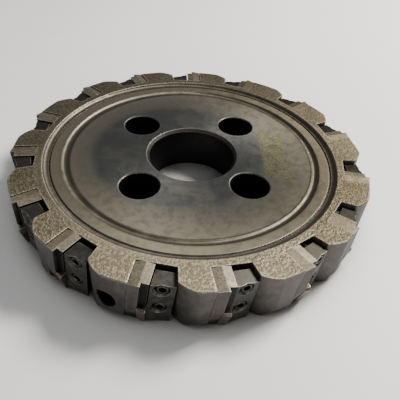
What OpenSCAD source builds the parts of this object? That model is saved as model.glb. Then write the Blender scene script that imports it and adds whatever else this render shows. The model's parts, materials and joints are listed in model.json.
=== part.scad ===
// Inserted-tooth face mill for a 60 mm arbor: a cutter body with fifteen stations round its rim.
// Each station holds a cartridge with a square insert, and a wedge block held by two screws.
// Origin: on the bore axis, in the plane of the hub's underside. +Z is the bore axis, upwards.

/* [Hub] */
// Diameter of the arbor bore
bore_d = 60; // [50:0.5:64]
// Width of the chamfer at the mouth of the bore
bore_chamfer = 2; // [0.5:0.5:3]
// Thickness of the hub, from underside to hub face
hub_t = 31; // [29:0.5:33]
// Radius of the raised foot on the underside
foot_r = 68; // [66:1:90]
// Height of the foot over the rest of the underside
foot_h = 0.5; // [0.2:0.1:1]

/* [Bolt holes] */
// Diameter of the bolt circle
bolt_pcd = 101.6; // [98:0.1:108]
// Number of bolts
bolt_count = 4; // [2:1:6]
// Diameter of the through hole
bolt_hole_d = 18; // [14:0.5:20]
// Diameter of the counterbore for the bolt head
counterbore_d = 26; // [24:0.5:28]
// Depth of the counterbore below the hub face
counterbore_depth = 20; // [10:1:24]
// Chamfer at the mouth of the counterbore
counterbore_chamfer = 0.6; // [0.2:0.1:1]
// Angle of the first bolt hole, in degrees
bolt_phase = 52.4; // [45:0.1:60]

/* [Rim] */
// Radius of the lands
rim_r = 122.4; // [121.5:0.1:123]
// Height of the rim over the hub face
rim_rise = 3; // [2.5:0.1:3.5]
// Chamfer at the top edge of the lands
rim_chamfer = 0.5; // [0.2:0.1:0.8]
// Radius of the shallow valley round the hub face
valley_r = 86.5; // [84:0.5:87]
// Depth of that valley
valley_depth = 0.5; // [0.2:0.1:0.8]
// Outer radius of the low ring outside the valley
ring_r = 96.2; // [95:0.1:96.5]
// Height of that ring over the hub face
ring_rise = 0.9; // [0.5:0.1:1.2]
// Radius at which the cove up to the rim begins
cove_r = 97.9; // [97.5:0.1:98.5]
// Nose radius of the tool that turned the valley and the cove
tool_r = 3.5; // [3:0.1:4]
// Height of the taper at the lower edge of the lands
skirt_h = 5.5; // [3:0.5:8]
// How far that taper runs in
skirt_in = 3; // [1:0.5:5]

/* [Stations] */
// Lean of the stations about their radial direction, in degrees
lean = 6.5; // [0:0.5:8]
// Distance of a slot's flat floor from the bore axis
slot_floor = 106; // [105.5:0.1:106.5]
// Width of the wedge slot at its floor
slot_w = 11.5; // [11:0.1:12]
// Half of the angle between the two sides of a wedge slot, in degrees
wedge_half = 6; // [5:0.5:7]
// Radius at which a lump begins beside its wedge
relief_start_r = 116; // [115:0.5:118]
// Angle from the rake plane to that beginning, in degrees
relief_start = 6.8; // [6.6:0.1:7]
// Angle over which the lump curves out to its land, in degrees
relief_span = 5.6; // [5:0.1:6]
// Radius of that curve
relief_curve = 24; // [18:1:40]

/* [Cartridge] */
// Width of a cartridge along the rim
cartridge_w = 10.9; // [10.5:0.1:11.3]
// Width of the flat strip beside the wedge
strip_w = 5.2; // [4.8:0.1:5.6]
// Depth below the rim to which the rest slopes down beside the lump
heel_drop = 1.9; // [1:0.1:2.2]
// Depth of the flat strip below the rim
strip_drop = 0.5; // [0.3:0.1:1]
// Distance of the outer face from the bore axis, beside the insert
cartridge_r = 122.9; // [122.5:0.1:123.5]
// Distance of the outer face from the bore axis, beside the lump
heel_r = 121.9; // [121.5:0.1:122]
// Distance of the floor of the notch above the insert from the bore axis
notch_r = 120; // [119:0.5:121]

/* [Insert] */
// Side of the square insert
insert_side = 15.875; // [15:0.125:16]
// Thickness of the insert
insert_t = 4.76; // [4:0.01:5]
// Relief angle of the insert's sides, in degrees
insert_relief = 11; // [5:1:14]
// Flat across each corner
insert_flat = 1.2; // [0.5:0.1:2]
// Approach angle of the leading edge, measured from the face of the work, in degrees
approach = 75; // [73:1:77]
// Distance of the tip from the bore axis
tip_r = 119.9; // [119.5:0.1:120.5]
// Depth of the tip below the hub face
tip_depth = 32.2; // [31.8:0.1:32.6]
// How far the insert stands proud of the cartridge's rake face
insert_proud = 0.5; // [0.3:0.1:0.8]
// Setback of the cartridge behind the insert's leading edge
lead_setback = 1.3; // [0.3:0.1:1.5]
// Setback of the cartridge behind the insert's face edge
face_setback = 0.4; // [0.3:0.1:1]

/* [Wedge] */
// Distance from the slot's floor to the inner end of a wedge, along the wedge
wedge_start = 3; // [2.8:0.1:4.5]
// Distance to its outer face beside the insert
wedge_end = 13.5; // [13:0.1:14]
// Fall of the outer face towards the lump
wedge_slant = 1.5; // [1:0.1:2]
// Height of the top over the hub face
wedge_top = 1.5; // [1.4:0.1:1.6]
// Height of a wedge
wedge_h = 31.5; // [29:0.5:32]
// Clearance on each side of a wedge
wedge_gap = 0.12; // [0.05:0.01:0.2]

/* [Screws] */
// Diameter of a screw in the wedge
screw_d = 7; // [6:0.1:7]
// Chamfer round its face
screw_chamfer = 0.6; // [0.3:0.1:0.8]
// Depth of its face below the wedge's outer face
screw_sink = 0.5; // [0.2:0.1:1]
// Diameter of its thread in the body
stem_d = 5.6; // [5:0.1:5.6]
// Depth of the upper screw below the hub face
screw_depth = 2.7; // [2.6:0.1:3]
// Distance between the two screws
screw_pitch = 15.2; // [14:0.1:16]
// Radial clearance round a screw in the wedge
screw_gap = 0.35; // [0.3:0.05:0.4]
// Width of the countersink round a screw
countersink_w = 0.9; // [0.5:0.1:1.2]
// Key size of the hexagon socket
socket_af = 4; // [3:0.5:4]
// Depth of the socket
socket_depth = 3; // [2:0.5:4]

/* [Side hole] */
// Diameter of the plain hole in one land
side_hole_d = 12.5; // [10:0.5:14]
// Depth of that hole
side_hole_depth = 16; // [8:1:18]
// Angle of that hole round the rim, in degrees
side_hole_angle = -108; // [-110:0.5:-107]
// Height of that hole over the underside
side_hole_z = 14.5; // [12:0.5:18]

/* [Hidden] */
$fn = 96;
eps = 0.02;
rim_z = hub_t + rim_rise;
far = 40;
deep = hub_t + 8;

// The cutter has a differential pitch: these are the angles from one rake plane to the next.
first_station = -168.6;
pitches = [25, 22.5, 24.5, 21.5, 23.5, 21, 25, 26, 24.5, 27, 24, 25, 23, 25, 22.5];
station_count = len(pitches);

function sum_to(n) = n <= 0 ? 0 : pitches[n - 1] + sum_to(n - 1);
function station_angle(n) = first_station + sum_to(n);
function two_digits(n) = str(n < 10 ? "0" : "", n);
function numbered(name) = [for (n = [1:station_count]) str(name, "_", two_digits(n))];

// The frame of a station: x is radial, y = 0 is the rake plane, z leans, and z = 0 is the hub face.
module at_station(n) {
    rotate([0, 0, station_angle(n)])
        translate([0, 0, hub_t])
            rotate([-lean, 0, 0])
                children();
}

// The frame of a wedge inside a station: x runs out along the middle of its slot.
module along_wedge() {
    translate([slot_floor - slot_w / 2 * sin(wedge_half), slot_w / 2 * cos(wedge_half), 0])
        rotate([0, 0, wedge_half])
            children();
}

function half_width(x) = slot_w / 2 + x * tan(wedge_half);

// Middle of the wedge's slanted outer face.
face_x = wedge_end - wedge_slant / 2;

// A round bar along x, from one distance to another.
module bar(d, from, to) {
    translate([from, 0, 0]) rotate([0, 90, 0]) cylinder(d = d, h = to - from);
}

// A cone along x, between two diameters and two distances.
module flare(d1, d2, from, to) {
    translate([from, 0, 0]) rotate([0, 90, 0]) cylinder(d1 = d1, d2 = d2, h = to - from);
}

// ---- cutter body ----

module body_profile() {
    ring_z = hub_t + ring_rise;
    polygon([
        [bore_d / 2, 0],
        [foot_r, 0],
        [foot_r + foot_h, foot_h],
        [rim_r - skirt_in, foot_h],
        [rim_r, foot_h + skirt_h],
        [rim_r, rim_z - rim_chamfer],
        [rim_r - rim_chamfer, rim_z],
        [cove_r, rim_z],
        [cove_r, ring_z],
        [ring_r + 1, ring_z],
        [ring_r + 1, ring_z - 0.6],
        [ring_r + 0.5, ring_z - 0.6],
        [ring_r, ring_z],
        [valley_r, ring_z],
        [valley_r, hub_t],
        [bore_d / 2 + bore_chamfer, hub_t],
        [bore_d / 2, hub_t - bore_chamfer],
    ]);
}

// A groove turned with a round-nosed tool, down to a given height.
module turned_groove(radius, bottom) {
    translate([0, 0, bottom + tool_r])
        rotate_extrude()
            translate([radius, 0])
                circle(r = tool_r);
}

module bolt_hole() {
    translate([0, 0, -1]) cylinder(d = bolt_hole_d, h = hub_t + 2);
    translate([0, 0, hub_t - counterbore_depth]) cylinder(d = counterbore_d, h = counterbore_depth + 1);
    translate([0, 0, hub_t - counterbore_chamfer])
        cylinder(
            d1 = counterbore_d,
            d2 = counterbore_d + 2 * (counterbore_chamfer + 1),
            h = counterbore_chamfer + 1
        );
}

// Plan of a whole slot: the cartridge's straight half and the wedge's flared half.
module slot_plan() {
    intersection() {
        translate([slot_floor, -far]) square([far, 2 * far]);
        union() {
            translate([slot_floor, -cartridge_w]) square([far, cartridge_w + eps]);
            along_wedge()
                polygon([
                    [-3, -half_width(-3)],
                    [far, -half_width(far)],
                    [far, half_width(far)],
                    [-3, half_width(-3)],
                ]);
        }
    }
}

module station_cuts(n) {
    at_station(n) {
        translate([0, 0, -deep]) linear_extrude(deep + 8) slot_plan();
        insert_seat(0.3);
        along_wedge()
            for (k = [0, 1])
                translate([0, 0, -screw_depth - k * screw_pitch])
                    bar(stem_d, -9.5, 1);
    }
}

// What is milled off outside a lump, from its corner beside the wedge to the start of its land.
// The curve runs through both points; x is radial at the start of the land.
module relief_plan() {
    corner = [relief_start_r * cos(relief_span), -relief_start_r * sin(relief_span)];
    land = [rim_r, 0];
    half_chord = norm(land - corner) / 2;
    inward = [corner[1] - land[1], land[0] - corner[0]] / (2 * half_chord);
    centre = (corner + land) / 2 + inward * sqrt(pow(relief_curve, 2) - pow(half_chord, 2));
    difference() {
        translate([corner[0] - 6, -22]) square([20, 24]);
        translate(centre) circle(r = relief_curve);
    }
}

module relief(n) {
    rotate([0, 0, station_angle(n) + relief_start + relief_span])
        translate([0, 0, -1])
            linear_extrude(rim_z + 2)
                relief_plan();
}

module side_hole() {
    rotate([0, 0, side_hole_angle])
        translate([0, 0, side_hole_z])
            bar(side_hole_d, rim_r - side_hole_depth, rim_r + 5);
}

module cutter_body() {
    color("#7d776a")
        difference() {
            rotate_extrude($fn = 180) body_profile();
            turned_groove(valley_r, hub_t - valley_depth);
            turned_groove(cove_r, hub_t + ring_rise - 0.1);
            for (k = [0:bolt_count - 1])
                rotate([0, 0, bolt_phase + k * 360 / bolt_count])
                    translate([bolt_pcd / 2, 0, 0])
                        bolt_hole();
            for (n = [0:station_count - 1]) {
                station_cuts(n);
                relief(n);
            }
            side_hole();
        }
}

// ---- insert ----

function chamfered_square(a, c) = [
    [c, 0], [a - c, 0], [a, c], [a, a - c],
    [a - c, a], [c, a], [0, a - c], [0, c],
];

// Lays plan coordinates on the insert's face: x inwards along the face edge, y up along the
// leading edge, from the tip. z goes into the insert.
module on_insert_face() {
    rotate([90, 0, 0])
        translate([tip_r, -tip_depth, -insert_proud])
            rotate([0, 0, approach - 90])
                mirror([1, 0, 0])
                    children();
}

module insert_shape() {
    inset = insert_t * tan(insert_relief);
    on_insert_face()
        translate([insert_side / 2, insert_side / 2, 0])
            linear_extrude(insert_t, scale = 1 - 2 * inset / insert_side)
                translate([-insert_side / 2, -insert_side / 2])
                    polygon(chamfered_square(insert_side, insert_flat));
}

// Room for the insert's inner corner, with a gap all round.
module insert_seat(gap) {
    on_insert_face()
        translate([-gap, -gap, -gap])
            cube([insert_side + 2 * gap, insert_side + 2 * gap, insert_t + 2 * gap]);
}

module insert_plate(n) {
    color("#4a3d33") at_station(n) insert_shape();
}

// ---- cartridge ----

// Plan: the outer face leans out towards the insert.
module cartridge_plan() {
    polygon([
        [slot_floor, 0],
        [cartridge_r, 0],
        [cartridge_r, insert_proud - insert_t],
        [heel_r, wedge_gap - cartridge_w],
        [slot_floor, wedge_gap - cartridge_w],
    ]);
}

// Section across the rim: a flat strip beside the wedge and a slope down to the lump.
module cartridge_section() {
    top = rim_rise;
    polygon([
        [0, top - strip_drop],
        [-strip_w, top - strip_drop],
        [-cartridge_w, top - heel_drop],
        [-cartridge_w, -deep],
        [0, -deep],
    ]);
}

module cartridge_block() {
    intersection() {
        translate([0, 0, -deep]) linear_extrude(deep + 8) cartridge_plan();
        translate([slot_floor - 1, 0, 0])
            rotate([90, 0, 90])
                linear_extrude(far)
                    cartridge_section();
        on_insert_face() translate([lead_setback, face_setback, 0]) cube([80, 80, far]);
    }
}

// The tall notch over the insert: its floor is the insert's upper side.
module notch() {
    translate([notch_r, insert_proud - insert_t, -tip_depth + insert_side * sin(approach) - 1.5])
        cube([10, insert_t, tip_depth]);
}

module cartridge(n) {
    color("#8d8578")
        at_station(n)
            difference() {
                cartridge_block();
                notch();
                insert_shape();
            }
}

// ---- wedge ----

// The wedge bears on the insert, so it stands off the cartridge's rake face.
module wedge_plan() {
    stand_off = insert_proud + wedge_gap;
    polygon([
        [wedge_start, stand_off - half_width(wedge_start)],
        [wedge_end, stand_off - half_width(wedge_end)],
        [wedge_end - wedge_slant, half_width(wedge_end - wedge_slant) - wedge_gap],
        [wedge_start, half_width(wedge_start) - wedge_gap],
    ]);
}

module screw_hole() {
    hole_d = screw_d + 2 * screw_gap;
    bar(hole_d, wedge_start - 1, wedge_end + 1);
    flare(hole_d, hole_d + 2 * (countersink_w + 2), face_x - countersink_w, face_x + 2);
}

module wedge(n) {
    color("#55524c")
        at_station(n) along_wedge()
            difference() {
                translate([0, 0, wedge_top - wedge_h]) linear_extrude(wedge_h) wedge_plan();
                for (k = [0, 1])
                    translate([0, 0, -screw_depth - k * screw_pitch])
                        screw_hole();
            }
}

// ---- screws ----

module wedge_screw() {
    end = face_x - screw_sink;
    difference() {
        union() {
            bar(stem_d, -9, wedge_start - 0.5);
            bar(screw_d, wedge_start - 0.5, end - screw_chamfer);
            flare(screw_d, screw_d - 2 * screw_chamfer, end - screw_chamfer, end);
        }
        translate([end - socket_depth, 0, 0])
            rotate([0, 90, 0])
                cylinder(d = socket_af / cos(30), h = socket_depth + 1, $fn = 6);
    }
}

module wedge_screws() {
    color("#3f3c38")
        for (n = [0:station_count - 1], k = [0, 1])
            at_station(n) along_wedge()
                translate([0, 0, -screw_depth - k * screw_pitch])
                    wedge_screw();
}

cutter_body();
for (n = [0:station_count - 1]) {
    cartridge(n);
    insert_plate(n);
    wedge(n);
}
wedge_screws();
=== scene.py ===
import json
import math

import bpy
from mathutils import Matrix, Vector


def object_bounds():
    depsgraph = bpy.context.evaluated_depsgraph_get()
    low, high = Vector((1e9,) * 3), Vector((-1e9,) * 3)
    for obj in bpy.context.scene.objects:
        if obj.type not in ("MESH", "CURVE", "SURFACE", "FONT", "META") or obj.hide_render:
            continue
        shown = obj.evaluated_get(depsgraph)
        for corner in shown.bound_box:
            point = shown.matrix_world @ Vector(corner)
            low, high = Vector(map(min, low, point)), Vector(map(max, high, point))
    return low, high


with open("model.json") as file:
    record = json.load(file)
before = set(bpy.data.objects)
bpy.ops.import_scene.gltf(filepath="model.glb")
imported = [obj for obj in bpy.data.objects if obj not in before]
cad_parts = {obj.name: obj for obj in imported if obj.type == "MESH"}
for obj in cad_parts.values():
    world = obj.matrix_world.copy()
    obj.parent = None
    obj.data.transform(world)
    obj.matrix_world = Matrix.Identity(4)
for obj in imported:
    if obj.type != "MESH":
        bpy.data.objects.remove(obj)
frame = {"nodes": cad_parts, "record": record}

MM = 0.001
cad_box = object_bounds()

# Camera: where it looks, from how far and how high, and how much it is tilted.
VIEW_TARGET = Vector((8.4, -49.6, 31.0)) * MM
VIEW_DISTANCE = 269.2 * MM
VIEW_ELEVATION = math.radians(41.6)
VIEW_ROLL = math.radians(4.72)
LENS_MM = 38.84
SENSOR_MM = 36
NEAREST_SEEN = 10 * MM

# Even light from all round, and the width of the square floor in metres.
SKY_COLOUR = (0.95, 0.97, 1)
SKY_STRENGTH = 0.22
FLOOR_SIZE = 6

# Radii on the cutter body, in millimetres, where the look of the steel changes.
RIGHT_SHADE_IN = 60
HUB_OUT = 80
VALLEY_IN = 83.0
VALLEY_SLOPE = 84.1
VALLEY_R = 86.8
VALLEY_OUT = 89.6
RIGHT_SHADE_FULL = 90
RING_IN = 90.6
RING_OUT = 96.0
GROOVE_R = 96.8
COVE_R = 97.9
WEAR_IN = 99.5
COVE_OUT = 100.8
RIM_IN = 101.4
WEAR_FULL = 101.5
GRAIN_FULL = 104
PITS_FULL = 106
OUTSIDE_R = 125.0

# The bluish stain round the bore: its middle, and the radii between which it fades.
STAIN_CENTRE = (-9, 0, 0)
STAIN_IN = 56
STAIN_OUT = 64

# Height of the hub face, and heights from which the look of the top begins and where it is complete.
FACE_Z = 31
TOP_FROM_Z = FACE_Z - 3
TOP_FULL_Z = FACE_Z - 1

# Heights on the sides where the painted shade towards the table begins, and where it would be darkest.
SHADE_FROM_Z = 26
SHADE_FULL_Z = -4

# The plain hole in one land: its direction from the bore, its height, its radius and where it begins.
SIDE_HOLE_ANGLE = math.radians(-108)
SIDE_HOLE_Z = 14.5
SIDE_HOLE_R = 6.25
SIDE_HOLE_FROM = 104

# The faded blank label on the hub face: its corners, anticlockwise, in millimetres.
LABEL = ((65.5, 36.0), (47.4, 35.2), (51.6, -18.6), (70.0, -23.5))

# Level directions in which the painted shade at the back thins out, and in which the painted shade on the
# tops grows.
BACK_SHADE_THINS_TOWARDS = (0.35, -0.94, 0)
RIGHT_SHADE_TOWARDS = (0.95, 0.31, 0)

# Textures: features in a millimetre, detail, and where it matters the roughness of the detail.
TURNING_MARKS = (1.1, 6.0, 0.7)
STAINS = (0.045, 5.0, 0.6)
CLOUDS = (0.16, 6.0, 0.65)
BODY_GRAIN = (1.6, 8.0, 0.75)
BODY_SPECKS = (0.58, 3.0, 0.55)
SCRATCHES = (1.0, 1.0, 0.5)
BLOTCHES = (0.22, 6.0, 0.6)
STREAKS = (1.0, 5.0, 0.6)
SMALL_SPECKS = (0.75, 4.0, 0.6)
SMALL_GRAIN = (1.8, 8.0, 0.75)
WIDE_PATCHES = (0.03, 5.0)
UNEVEN_WEAR = (0.9, 4.0)
RAGGED_PAPER = (0.7, 3.0)

# Colours, in linear red, green and blue.
BLUISH_STAIN = (0.094, 0.097, 0.096)
BARE_PATCH = (0.220, 0.206, 0.170)
DARK_CLOUD = (0.035, 0.034, 0.032)
MARK_DARK = (0.060, 0.056, 0.048)
SCRATCH = (0.38, 0.37, 0.34)
PAPER_DARK = (0.122, 0.115, 0.062)
PAPER_LIGHT = (0.235, 0.219, 0.112)
SIDE_DARK = (0.070, 0.065, 0.064)
SIDE_LIGHT = (0.130, 0.118, 0.104)
# Painted shade down the sides towards the table, and inside the bore and holes:
SIDE_FOOT_SHADE = (0.026, 0.026, 0.030)
HOLLOW_SHADE = (0.022, 0.021, 0.022)
UNDERSIDE_DARK = (0.110, 0.104, 0.090)
UNDERSIDE_LIGHT = (0.170, 0.160, 0.138)
# Painted shade at the back of the cutter:
BACK_SHADE_COLOUR = (0.030, 0.028, 0.024)
# Painted shade in corners and gaps of the body:
BODY_GAP_SHADE = (0.012, 0.011, 0.010)
# Painted shade inside the plain hole in the land:
SIDE_HOLE_SHADE = (0.010, 0.009, 0.009)
BODY_EDGE = (0.50, 0.445, 0.345)
# Painted shade on the tops at the right of the cutter:
RIGHT_SHADE_COLOUR = (0.43, 0.41, 0.355)
# Painted shade on cartridge sides nearer to the bore axis:
RECESS_SHADE = (0.014, 0.013, 0.012)
STREAK = (0.05, 0.045, 0.04)
# Painted shade in corners and gaps of the small pieces:
SMALL_GAP_SHADE = (0.010, 0.009, 0.008)
FLOOR_DARK = (0.90, 0.90, 0.90)
FLOOR_LIGHT = (0.95, 0.95, 0.95)
# Painted shade on the floor where the cutter encloses it:
FLOOR_SHADE = (0.060, 0.056, 0.045)

# The turned face outside the stain: radii in millimetres, and colours: the turned steel's own tones, with
# painted shade in the valley, in the groove and in the cove.
TURNED_TONES_AND_SHADE = (
    (STAIN_OUT, (0.150, 0.144, 0.124)),
    (VALLEY_IN, (0.220, 0.202, 0.159)),
    (VALLEY_SLOPE, (0.066, 0.060, 0.047)),
    (VALLEY_R, (0.125, 0.112, 0.087)),
    (VALLEY_OUT, (0.160, 0.144, 0.109)),
    (RING_IN, (0.250, 0.225, 0.169)),
    (RING_OUT, (0.265, 0.237, 0.176)),
    (GROOVE_R, (0.035, 0.031, 0.026)),
    (COVE_R, (0.145, 0.129, 0.099)),
    (COVE_OUT, (0.190, 0.169, 0.128)),
    (RIM_IN, (0.310, 0.272, 0.195)),
)

# The pitted rim tops: levels of the specks, and what they multiply the colour by.
PIT_SHADES = (
    (0.36, (0.55, 0.52, 0.47)),
    (0.46, (0.69, 0.67, 0.62)),
    (0.56, (0.83, 0.81, 0.76)),
    (0.66, (1.15, 1.12, 1.02)),
)

# Share of bare metal in all the steel, and how many rays look for edges and crevices.
METAL = 0.85
RAYS = 6


# ---- shader nodes ----

class Shader:
    """One procedural material. Its nodes work in millimetres on the piece's own coordinates."""

    def __init__(self, name):
        self.material = bpy.data.materials.new(name)
        self.material.use_nodes = True
        self.tree = self.material.node_tree
        self.principled = self.tree.nodes["Principled BSDF"]
        place = self.add("TexCoord").outputs["Object"]
        self.mm = self.add("Mapping", {"Vector": place, "Scale": (1 / MM,) * 3}).outputs["Vector"]

    def add(self, kind, inputs=None, **settings):
        node = self.tree.nodes.new("ShaderNode" + kind)
        for key, value in settings.items():
            setattr(node, key, value)
        for key, value in (inputs or {}).items():
            self.put(node.inputs[key], value)
        return node

    def put(self, socket, value):
        """Links a socket to another one, or sets its constant."""
        if isinstance(value, bpy.types.NodeSocket):
            self.tree.links.new(value, socket)
        else:
            socket.default_value = value

    def set(self, **inputs):
        """Sets inputs of the material's own shader; an underscore stands for a space."""
        for key, value in inputs.items():
            self.put(self.principled.inputs[key.replace("_", " ")], value)

    def math(self, operation, a, b=0.0):
        return self.add("Math", {0: a, 1: b}, operation=operation).outputs[0]

    def product(self, first, *others):
        for other in others:
            first = self.math("MULTIPLY", first, other)
        return first

    def vector_math(self, operation, a, b=(0, 0, 0)):
        """The vector that the operation gives, or the number for a length or a dot product."""
        node = self.add("VectorMath", {0: a, 1: b}, operation=operation)
        return node.outputs["Value" if operation in ("LENGTH", "DOT_PRODUCT") else "Vector"]

    def stretch(self, value, low, high, to_low=0.0, to_high=1.0):
        """Goes smoothly from to_low to to_high as the value goes from low to high, and stays there."""
        node = self.add("MapRange", {"Value": value}, interpolation_type="SMOOTHSTEP")
        for key, number in (("From Min", low), ("From Max", high), ("To Min", to_low), ("To Max", to_high)):
            node.inputs[key].default_value = number
        return node.outputs["Result"]

    def noise(self, per_mm, detail=4.0, roughness=0.55, coordinates=None, distortion=0.0):
        settings = {"Vector": coordinates or self.mm, "Scale": per_mm, "Detail": detail,
                    "Roughness": roughness, "Distortion": distortion}
        return self.add("TexNoise", settings).outputs["Fac"]

    def ramp(self, value, stops):
        """A colour ramp; every stop is a position and a colour."""
        node = self.add("ValToRGB", {"Fac": value})
        elements = node.color_ramp.elements
        while len(elements) < len(stops):
            elements.new(0.5)
        for element, (position, colour) in zip(elements, stops):
            element.position = position
            element.color = (*colour, 1)
        return node.outputs["Color"]

    def mix(self, factor, a, b, blend="MIX"):
        """Colour a, with as much of colour b as the factor says."""
        node = self.add("Mix", data_type="RGBA", blend_type=blend)
        for socket, value in ((node.inputs[0], factor), (node.inputs[6], a), (node.inputs[7], b)):
            if isinstance(value, tuple):
                value = (*value, 1)
            self.put(socket, value)
        return node.outputs[2]

    def height(self):
        return self.add("SeparateXYZ", {"Vector": self.mm}).outputs["Z"]

    def radius(self, centre=(0, 0, 0)):
        """The level distance from an upright line through the centre."""
        apart = self.vector_math("SUBTRACT", self.mm, centre)
        return self.vector_math("LENGTH", self.vector_math("MULTIPLY", apart, (1, 1, 0)))

    def upward(self):
        """The height of the normal: one on level faces, nought on upright ones."""
        normal = self.add("NewGeometry").outputs["Normal"]
        return self.add("SeparateXYZ", {"Vector": normal}).outputs["Z"]

    def facing_up(self):
        return self.stretch(self.upward(), 0.6, 0.9)

    def rounded(self, radius_mm):
        """The normal of a piece whose edges are rounded off."""
        return self.add("Bevel", {"Radius": radius_mm * MM}, samples=RAYS).outputs["Normal"]

    def edges(self, radius_mm):
        """Up to one along worn edges, nought elsewhere: where the rounded normal leaves the flat one."""
        flat = self.add("NewGeometry").outputs["Normal"]
        agree = self.vector_math("DOT_PRODUCT", self.rounded(radius_mm), flat)
        uneven = self.stretch(self.noise(*UNEVEN_WEAR), 0.35, 0.6, 0.35, 1)
        on_top = self.stretch(self.upward(), 0, 0.7, 0.15, 1)
        open_air = self.math("SUBTRACT", 1.0, self.crevices(3))
        return self.product(self.stretch(agree, 0.99, 0.92), uneven, on_top, open_air)

    def crevices(self, reach_mm):
        """Up to 0.9 in corners, gaps and holes, nought on open faces: the mask of painted shade there,
        which also keeps wear out.
        """
        open_air = self.add("AmbientOcclusion", {"Distance": reach_mm * MM}, samples=RAYS)
        return self.stretch(open_air.outputs["AO"], 0.75, 0.3, 0, 0.9)

    def bump(self, height, distance_mm, strength, normal=None):
        inputs = {"Height": height, "Distance": distance_mm * MM, "Strength": strength}
        if normal:
            inputs["Normal"] = normal
        return self.add("Bump", inputs).outputs["Normal"]


# ---- dirt and wear, as masks ----

def back_shade(s):
    """Up to a half of painted shade at the back of the cutter, thinning out in clouds towards the front."""
    near = s.vector_math("DOT_PRODUCT", s.mm, BACK_SHADE_THINS_TOWARDS)
    near = s.math("ADD", near, s.stretch(s.noise(*WIDE_PATCHES), 0.3, 0.7, -50.0, 50.0))
    return s.stretch(near, 70, -110, 0, 0.5)


def right_side_shade(s):
    """The mask of painted shade at the right of the cutter: one at the right, thinning out in clouds to
    nought at its middle.
    """
    along = s.vector_math("DOT_PRODUCT", s.mm, RIGHT_SHADE_TOWARDS)
    along = s.math("ADD", along, s.stretch(s.noise(*WIDE_PATCHES), 0.3, 0.7, -15.0, 15.0))
    return s.stretch(along, 0, 95)


def scratches(s):
    """Long thin scratches in two directions."""
    both = None
    for turn in (0.35, 2.2):
        inputs = {"Vector": s.mm, "Rotation": (0, 0, turn), "Scale": (0.02, 1.1, 1)}
        along = s.add("Mapping", inputs).outputs["Vector"]
        lines = s.stretch(s.noise(*SCRATCHES, along), 0.77, 0.82, 0, 0.35)
        both = lines if both is None else s.math("MAXIMUM", both, lines)
    return both


def label_mask(s):
    """One inside the label's four sides as seen from above, with ragged edges."""
    inside = None
    for (x0, y0), (x1, y1) in zip(LABEL, LABEL[1:] + LABEL[:1]):
        inwards = Vector((y0 - y1, x1 - x0, 0)).normalized()
        along = s.vector_math("DOT_PRODUCT", s.mm, inwards)
        depth = s.math("SUBTRACT", along, inwards.x * x0 + inwards.y * y0)
        depth = s.math("ADD", depth, s.stretch(s.noise(*RAGGED_PAPER), 0.3, 0.7, -0.6, 0.6))
        within = s.stretch(depth, -0.5, 0.5)
        inside = within if inside is None else s.product(inside, within)
    return inside


def side_hole_mask(s):
    """Nearly one inside the plain hole in the land: the mask of the painted shade there."""
    outwards = (math.cos(SIDE_HOLE_ANGLE), math.sin(SIDE_HOLE_ANGLE), 0)
    place = s.vector_math("SUBTRACT", s.mm, (0, 0, SIDE_HOLE_Z))
    along = s.vector_math("DOT_PRODUCT", place, outwards)
    from_axis = s.vector_math("LENGTH", s.vector_math("CROSS_PRODUCT", place, outwards))
    inside = s.stretch(from_axis, SIDE_HOLE_R + 0.15, SIDE_HOLE_R + 0.05, 0, 0.9)
    return s.product(inside, s.stretch(along, SIDE_HOLE_FROM - 4, SIDE_HOLE_FROM))


def body_wear(s, radius, height):
    """The body's worn edges: bright along the rim, fainter round the holes and down the sides."""
    on_rim = s.stretch(radius, WEAR_IN, WEAR_FULL)
    round_holes = s.stretch(radius, HUB_OUT, HUB_OUT - 5, 0, 0.35)
    near_top = s.stretch(height, TOP_FROM_Z, TOP_FULL_Z, 0.15, 1)
    return s.product(s.edges(2.1), s.math("ADD", on_rim, round_holes), near_top)


# ---- materials ----

def turned_face(s, radius, marks, cloud):
    """Bands of the turned steel's own colour with painted shade in the valley, groove and cove, round the
    stained hub, with clouds, turning marks and scratches.
    """
    # Painted shade in the valley, in the groove and in the cove, over the turned steel's own tones.
    ring_tones_and_shade = [(ring_r / OUTSIDE_R, colour) for ring_r, colour in TURNED_TONES_AND_SHADE]
    face = s.ramp(s.math("DIVIDE", radius, OUTSIDE_R), ring_tones_and_shade)
    face = s.mix(s.stretch(s.radius(STAIN_CENTRE), STAIN_OUT, STAIN_IN), face, BLUISH_STAIN)
    patches = s.noise(*STAINS, distortion=0.6)
    face = s.mix(s.stretch(patches, 0.45, 0.65, 0.0, 0.3), face, BARE_PATCH)
    face = s.mix(s.stretch(cloud, 0.5, 0.75, 0.0, 0.25), face, DARK_CLOUD)
    face = s.mix(s.stretch(marks, 0.5, 0.75, 0.0, 0.3), face, MARK_DARK)
    return s.mix(scratches(s), face, SCRATCH)


def with_label(s, face, cloud, specks):
    """The face with the label's worn paper on it."""
    paper = s.mix(s.stretch(specks, 0.4, 0.62), PAPER_DARK, PAPER_LIGHT)
    cover = s.product(label_mask(s), s.stretch(cloud, 0.25, 0.6, 0.9, 0.55))
    return s.mix(cover, face, paper)


def sides_with_shade_and_underside(s, radius, height, cloud):
    """Milled sides with painted shade downwards and inside the bore and holes, and the underside."""
    patches = s.stretch(cloud, 0.35, 0.7)
    side = s.mix(patches, SIDE_DARK, SIDE_LIGHT)
    # Painted shade inside the bore and the holes round it.
    side = s.mix(s.stretch(radius, HUB_OUT, HUB_OUT - 2), side, HOLLOW_SHADE)
    # Painted shade down the sides towards the table.
    side = s.mix(s.stretch(height, SHADE_FROM_Z, SHADE_FULL_Z, 0, 0.5), side, SIDE_FOOT_SHADE)
    underside = s.mix(patches, UNDERSIDE_DARK, UNDERSIDE_LIGHT)
    return s.mix(s.stretch(s.upward(), -0.6, -0.9), side, underside)


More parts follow.
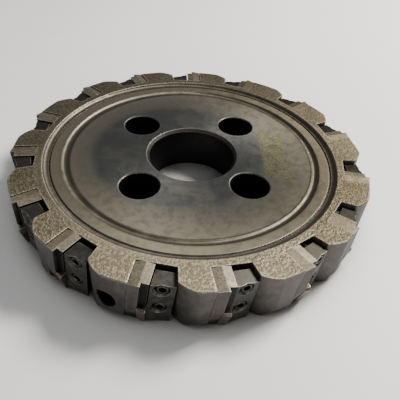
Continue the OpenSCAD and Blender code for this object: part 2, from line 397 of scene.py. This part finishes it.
def weathered_and_shaded(s, colour, radius, height, on_top):
    """The body's colour with painted shade at the back, in gaps, holes and the side hole, worn edges and
    painted shade at the right over it.
    """
    # Painted shade at the back of the cutter, thinning out towards the front.
    back_shaded = s.product(back_shade(s), s.stretch(radius, RING_OUT, RING_OUT + 5))
    colour = s.mix(back_shaded, colour, BACK_SHADE_COLOUR)
    # Painted shade in corners, gaps and holes.
    colour = s.mix(s.crevices(8), colour, BODY_GAP_SHADE)
    # Painted shade inside the plain hole in the land.
    colour = s.mix(side_hole_mask(s), colour, SIDE_HOLE_SHADE)
    colour = s.mix(body_wear(s, radius, height), colour, BODY_EDGE)
    # Painted shade on the tops at the right of the cutter.
    right_shade = s.product(right_side_shade(s), on_top, s.stretch(radius, RIGHT_SHADE_IN, RIGHT_SHADE_FULL, 0.3, 1))
    return s.mix(right_shade, colour, RIGHT_SHADE_COLOUR, "MULTIPLY")


def body_relief(s, radius, marks, pits):
    """The body's normal: rounded edges, turning marks, grain and pits."""
    normal = s.bump(marks, 0.03, 0.35, s.rounded(0.9))
    grain = s.product(s.noise(*BODY_GRAIN), s.stretch(radius, RING_OUT, GRAIN_FULL, 0.1, 1))
    normal = s.bump(grain, 0.05, 0.5, normal)
    return s.bump(pits, 0.25, 0.6, normal)


def body_steel():
    """Turned disc, pitted rim tops, milled sides, and bright worn edges."""
    s = Shader("body_steel")
    radius = s.radius()
    height = s.height()
    cloud = s.noise(*CLOUDS)
    specks = s.noise(*BODY_SPECKS)

    # Concentric turning marks: noise that only changes with the radius.
    marks = s.noise(*TURNING_MARKS, s.add("CombineXYZ", {"X": radius}).outputs[0])

    on_top = s.product(s.facing_up(), s.stretch(height, TOP_FROM_Z, TOP_FULL_Z))
    on_rim = s.stretch(radius, COVE_R, RIM_IN)
    pitted = s.product(on_rim, s.stretch(radius, RIM_IN, PITS_FULL, 0.3, 1))

    top = turned_face(s, radius, marks, cloud)
    top = s.mix(s.math("ADD", pitted, 0.1), top, s.ramp(specks, PIT_SHADES), "MULTIPLY")
    top = with_label(s, top, cloud, specks)
    colour = s.mix(on_top, sides_with_shade_and_underside(s, radius, height, cloud), top)

    roughness = s.math("ADD", s.stretch(cloud, 0.3, 0.7, 0.36, 0.48), s.product(pitted, 0.1))
    pits = s.product(pitted, on_top, s.stretch(specks, 0.6, 0.42))
    s.set(
        Base_Color=weathered_and_shaded(s, colour, radius, height, on_top),
        Metallic=METAL,
        Roughness=roughness,
        Normal=body_relief(s, radius, marks, pits),
        Anisotropic=0.55,
        Tangent=s.add("Tangent", direction_type="RADIAL", axis="Z").outputs[0],
    )
    return s.material


def small_steel(name, dark, light, edge, edge_mm, roughness, top=None, recess_r=None):
    """Steel of the small pieces: blotched dark and light, with worn edges.

    Pieces that have a colour for their top get painted shade on the right of the cutter as well. Sides
    nearer to the bore axis than recess_r get black painted shade; all get painted shade at the back and in
    gaps.
    """
    s = Shader(name)
    blotches = s.noise(*BLOTCHES)
    streaks = s.noise(*STREAKS, s.add("Mapping", {"Vector": s.mm, "Scale": (0.4, 0.4, 3.0)}).outputs[0])
    colour = s.mix(s.stretch(blotches, 0.35, 0.65), dark, light)
    if recess_r:
        # Painted shade on sides nearer to the bore axis than recess_r.
        colour = s.mix(s.stretch(s.radius(), recess_r, recess_r - 0.6), colour, RECESS_SHADE)
    if top:
        ground = s.mix(s.stretch(s.noise(*SMALL_SPECKS), 0.36, 0.64, 0.45, 1), light, top)
        colour = s.mix(s.facing_up(), colour, ground)
    # Painted shade at the back of the cutter.
    colour = s.mix(back_shade(s), colour, BACK_SHADE_COLOUR)
    colour = s.mix(s.stretch(streaks, 0.5, 0.8, 0.0, 0.35), colour, STREAK)
    # Painted shade in corners and gaps.
    colour = s.mix(s.crevices(6), colour, SMALL_GAP_SHADE)
    colour = s.mix(s.edges(edge_mm), colour, edge)
    if top:
        # Painted shade on the tops at the right of the cutter.
        colour = s.mix(s.product(right_side_shade(s), s.facing_up()), colour, RIGHT_SHADE_COLOUR, "MULTIPLY")
    normal = s.bump(streaks, 0.03, 0.4, s.rounded(0.35))
    s.set(
        Base_Color=colour,
        Metallic=METAL,
        Roughness=s.stretch(blotches, 0.3, 0.7, roughness - 0.08, roughness + 0.1),
        Normal=s.bump(s.noise(*SMALL_GRAIN), 0.04, 0.5, normal),
    )
    return s.material


def floor_sheet():
    """Pale sheet, with painted shade where the cutter encloses it."""
    s = Shader("floor_white")
    colour = s.mix(s.noise(0.02), FLOOR_DARK, FLOOR_LIGHT)
    # Painted shade where the cutter encloses the floor.
    open_air = s.add("AmbientOcclusion", {"Distance": 45 * MM}, samples=RAYS).outputs["AO"]
    colour = s.mix(s.stretch(open_air, 0.64, 0.40, 0, 0.96), colour, FLOOR_SHADE)
    s.set(Base_Color=colour, Roughness=0.55, Normal=s.bump(s.noise(0.15, 3.0), 0.2, 0.3))
    return s.material


MATERIALS = {
    "cutter_body": body_steel(),
    "cartridge": small_steel(
        "cartridge_steel",
        dark=(0.065, 0.060, 0.058),
        light=(0.11, 0.10, 0.09),
        top=(0.335, 0.292, 0.215),
        edge=(0.44, 0.395, 0.31),
        edge_mm=0.9,
        roughness=0.54,
        recess_r=121.2,
    ),
    "insert": small_steel(
        "insert_carbide",
        dark=(0.07, 0.05, 0.04),
        light=(0.16, 0.125, 0.10),
        edge=(0.6, 0.52, 0.44),
        edge_mm=0.6,
        roughness=0.35,
    ),
    "wedge": small_steel(
        "wedge_steel",
        dark=(0.042, 0.041, 0.038),
        light=(0.070, 0.067, 0.060),
        top=(0.058, 0.054, 0.047),
        edge=(0.32, 0.29, 0.25),
        edge_mm=0.7,
        roughness=0.40,
    ),
    "wedge_screws": small_steel(
        "screw_steel",
        dark=(0.03, 0.029, 0.027),
        light=(0.055, 0.052, 0.048),
        edge=(0.34, 0.31, 0.27),
        edge_mm=0.5,
        roughness=0.35,
    ),
}


def dress(node, slot):
    """Puts the slot's material on a CAD node."""
    node.data.materials.clear()
    node.data.materials.append(MATERIALS[slot])


for part in frame["record"]["subparts"]:
    dress(frame["nodes"][part["node"]], part["material_slot"])


# ---- camera, floor and light ----

def add_camera():
    camera = bpy.data.objects.new("camera", bpy.data.cameras.new("camera"))
    camera.data.lens = LENS_MM
    camera.data.sensor_width = SENSOR_MM
    camera.data.clip_start = NEAREST_SEEN
    back = Vector((0, -math.cos(VIEW_ELEVATION), math.sin(VIEW_ELEVATION)))
    place = Matrix.Translation(VIEW_TARGET + back * VIEW_DISTANCE)
    tip = Matrix.Rotation(math.pi / 2 - VIEW_ELEVATION, 4, "X")
    roll = Matrix.Rotation(VIEW_ROLL, 4, "Z")
    camera.matrix_world = place @ tip @ roll
    bpy.context.scene.collection.objects.link(camera)
    bpy.context.scene.camera = camera


def add_floor():
    bpy.ops.mesh.primitive_plane_add(size=FLOOR_SIZE, location=(0, 0, cad_box[0][2]))
    floor = bpy.context.object
    floor.name = "floor"
    floor.data.materials.append(floor_sheet())


def add_light(name, place, size, watts, colour):
    """A square light that faces the origin."""
    light = bpy.data.objects.new(name, bpy.data.lights.new(name, "AREA"))
    light.data.size = size
    light.data.energy = watts
    light.data.color = colour
    light.location = place
    light.rotation_euler = (-Vector(place)).to_track_quat("-Z", "Y").to_euler()
    bpy.context.scene.collection.objects.link(light)


def add_sky():
    world = bpy.data.worlds.new("studio")
    world.use_nodes = True
    background = world.node_tree.nodes["Background"]
    background.inputs["Color"].default_value = (*SKY_COLOUR, 1)
    background.inputs["Strength"].default_value = SKY_STRENGTH
    bpy.context.scene.world = world


add_camera()
add_floor()
add_light("key", place=(0.76, 0.53, 0.95), size=0.4, watts=34, colour=(1, 0.96, 0.88))
add_light("front", place=(0.3, -1.0, 0.6), size=0.7, watts=4, colour=(1, 0.97, 0.9))
add_light("fill", place=(-0.8, -0.5, 0.9), size=1.0, watts=1, colour=(0.95, 0.97, 1))
add_sky()
